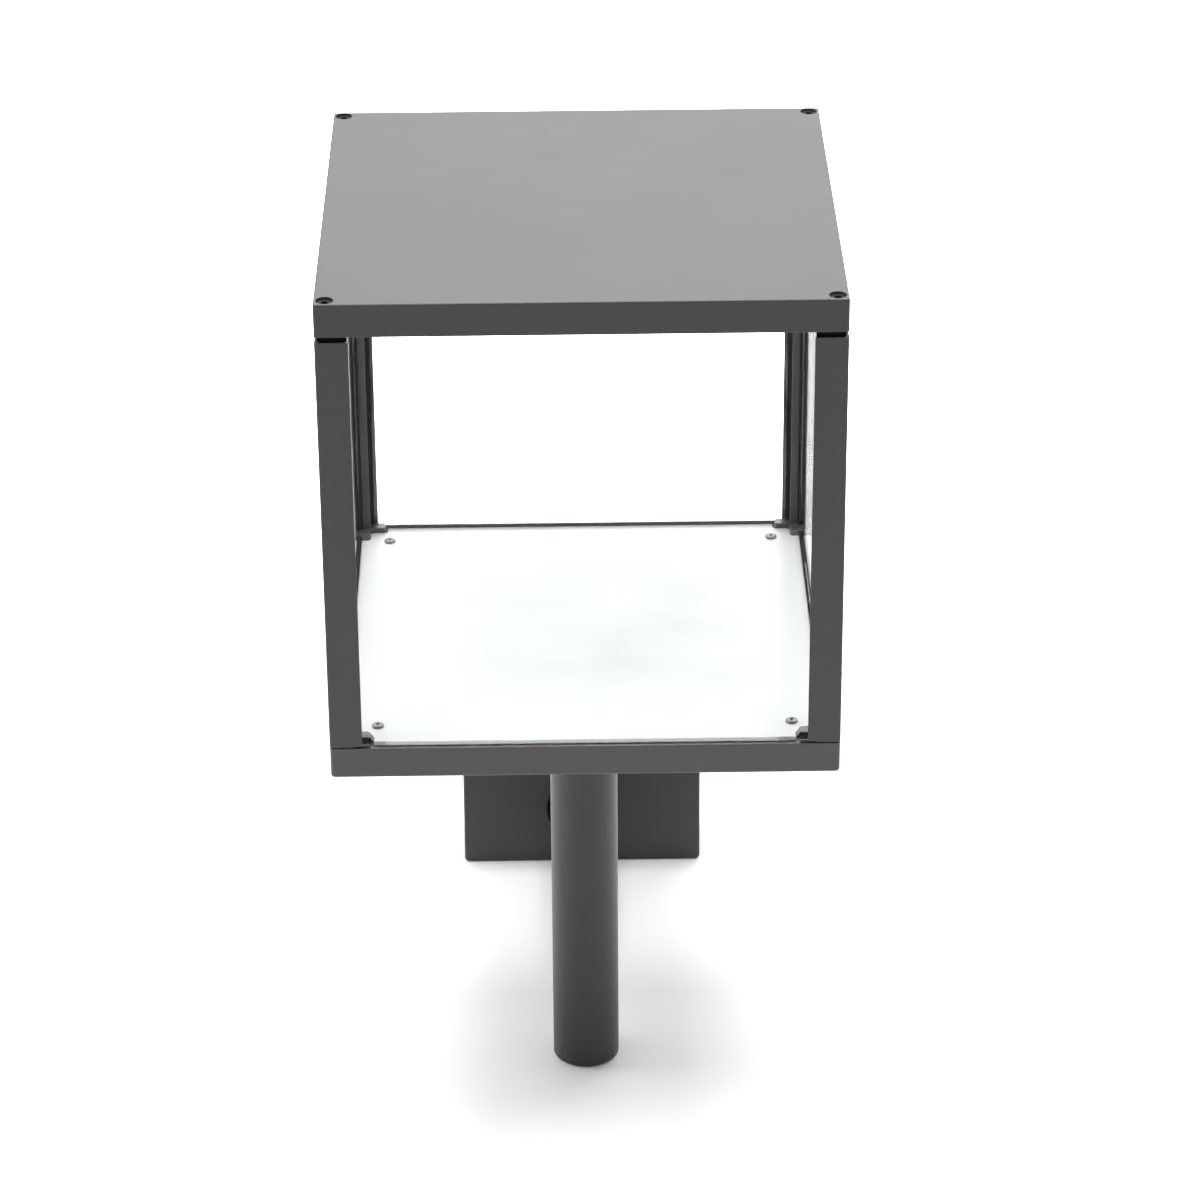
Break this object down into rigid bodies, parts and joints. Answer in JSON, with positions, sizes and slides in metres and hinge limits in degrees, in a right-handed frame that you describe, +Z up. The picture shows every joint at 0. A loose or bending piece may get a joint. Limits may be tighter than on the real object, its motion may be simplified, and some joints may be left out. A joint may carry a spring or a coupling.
{
  "type": "wall bracket lantern",
  "caption": "Square glazed outdoor lantern on a round upright stem, carried by a short level arm from a wall box; the head turns on the stem.",
  "frame": {"origin": "centre of the wall plate's back face, on the arm's axis", "axes": "+Z up, +Y into the wall, +X to the right seen from the front"},
  "size_m": [0.23, 0.338, 0.4554],
  "materials": {
    "powder_coat": "fine-textured satin powder coat, anthracite",
    "shoe_plastic": "moulded black nylon",
    "plug_plastic": "moulded dark plastic, satin",
    "clear_glass": "clear float glass, polished edges",
    "opal_panel": "opal acrylic, satin",
    "white_coat": "matt white coating",
    "silicone": "translucent silicone",
    "dark_screw": "black-passivated steel",
    "steel_screw": "stainless steel",
    "foam": "closed-cell foam rubber",
    "black_rubber": "matt black rubber",
    "thermal_sheet": "soft heat-conducting sheet",
    "board_mask": "white solder mask on aluminium",
    "led_phosphor": "yellow phosphor gel",
    "white_plastic": "moulded white plastic",
    "zinc_steel": "zinc-plated steel",
    "nylon": "natural nylon",
    "cable_sheath": "black cable sheath"
  },
  "bodies": {
    "bracket": {"swivel_washer": "nylon", "grub_screw": "steel_screw", "stem_tube": "powder_coat", "stem_plug": "plug_plastic", "arm_tube": "powder_coat", "arm_lock_nut": "zinc_steel", "arm_seal": "black_rubber", "wall_box": "powder_coat", "side_screws": "dark_screw", "wall_gasket": "foam", "wall_plate": "zinc_steel", "entry_grommet": "black_rubber", "earth_screw": "steel_screw", "led_driver": "white_plastic", "driver_pad": "white_plastic", "terminal_block": "white_plastic", "terminal_screws": "steel_screw", "stem_lead": "cable_sheath", "supply_link": "cable_sheath"},
    "head": {"base_screws": "dark_screw", "base_tray": "powder_coat", "bottom_shoe_front_left": "shoe_plastic", "bottom_shoe_front_right": "shoe_plastic", "bottom_shoe_rear_left": "shoe_plastic", "bottom_shoe_rear_right": "shoe_plastic", "cap_screws": "dark_screw", "cap_shell": "powder_coat", "cap_strips": "black_rubber", "diffuser": "opal_panel", "diffuser_gasket": "black_rubber", "diffuser_screws": "steel_screw", "glass_front": "clear_glass", "glass_left": "clear_glass", "glass_rear": "clear_glass", "glass_right": "clear_glass", "glazing_bead_left": "black_rubber", "glazing_bead_rear": "black_rubber", "glazing_bead_right": "black_rubber", "glazing_tapes": "black_rubber", "head_lead": "cable_sheath", "hub_screws": "steel_screw", "lead_grommet": "black_rubber", "led_board": "board_mask", "led_connector": "white_plastic", "led_packages": "led_phosphor", "post_front_left": "powder_coat", "post_front_right": "powder_coat", "post_rear_left": "powder_coat", "post_rear_right": "powder_coat", "reflector": "white_coat", "setting_strips": "silicone", "swivel_hub": "powder_coat", "thermal_pad": "thermal_sheet", "top_shoe_front_left": "shoe_plastic", "top_shoe_front_right": "shoe_plastic", "top_shoe_rear_left": "shoe_plastic", "top_shoe_rear_right": "shoe_plastic"}
  },
  "joints": [
    {"name": "head_swivel", "type": "hinge", "parent": "bracket", "child": "head", "pos_m": [0, -0.223, 0.1853], "axis": [0, 0, 1], "range_deg": [-90, 90]}
  ]
}
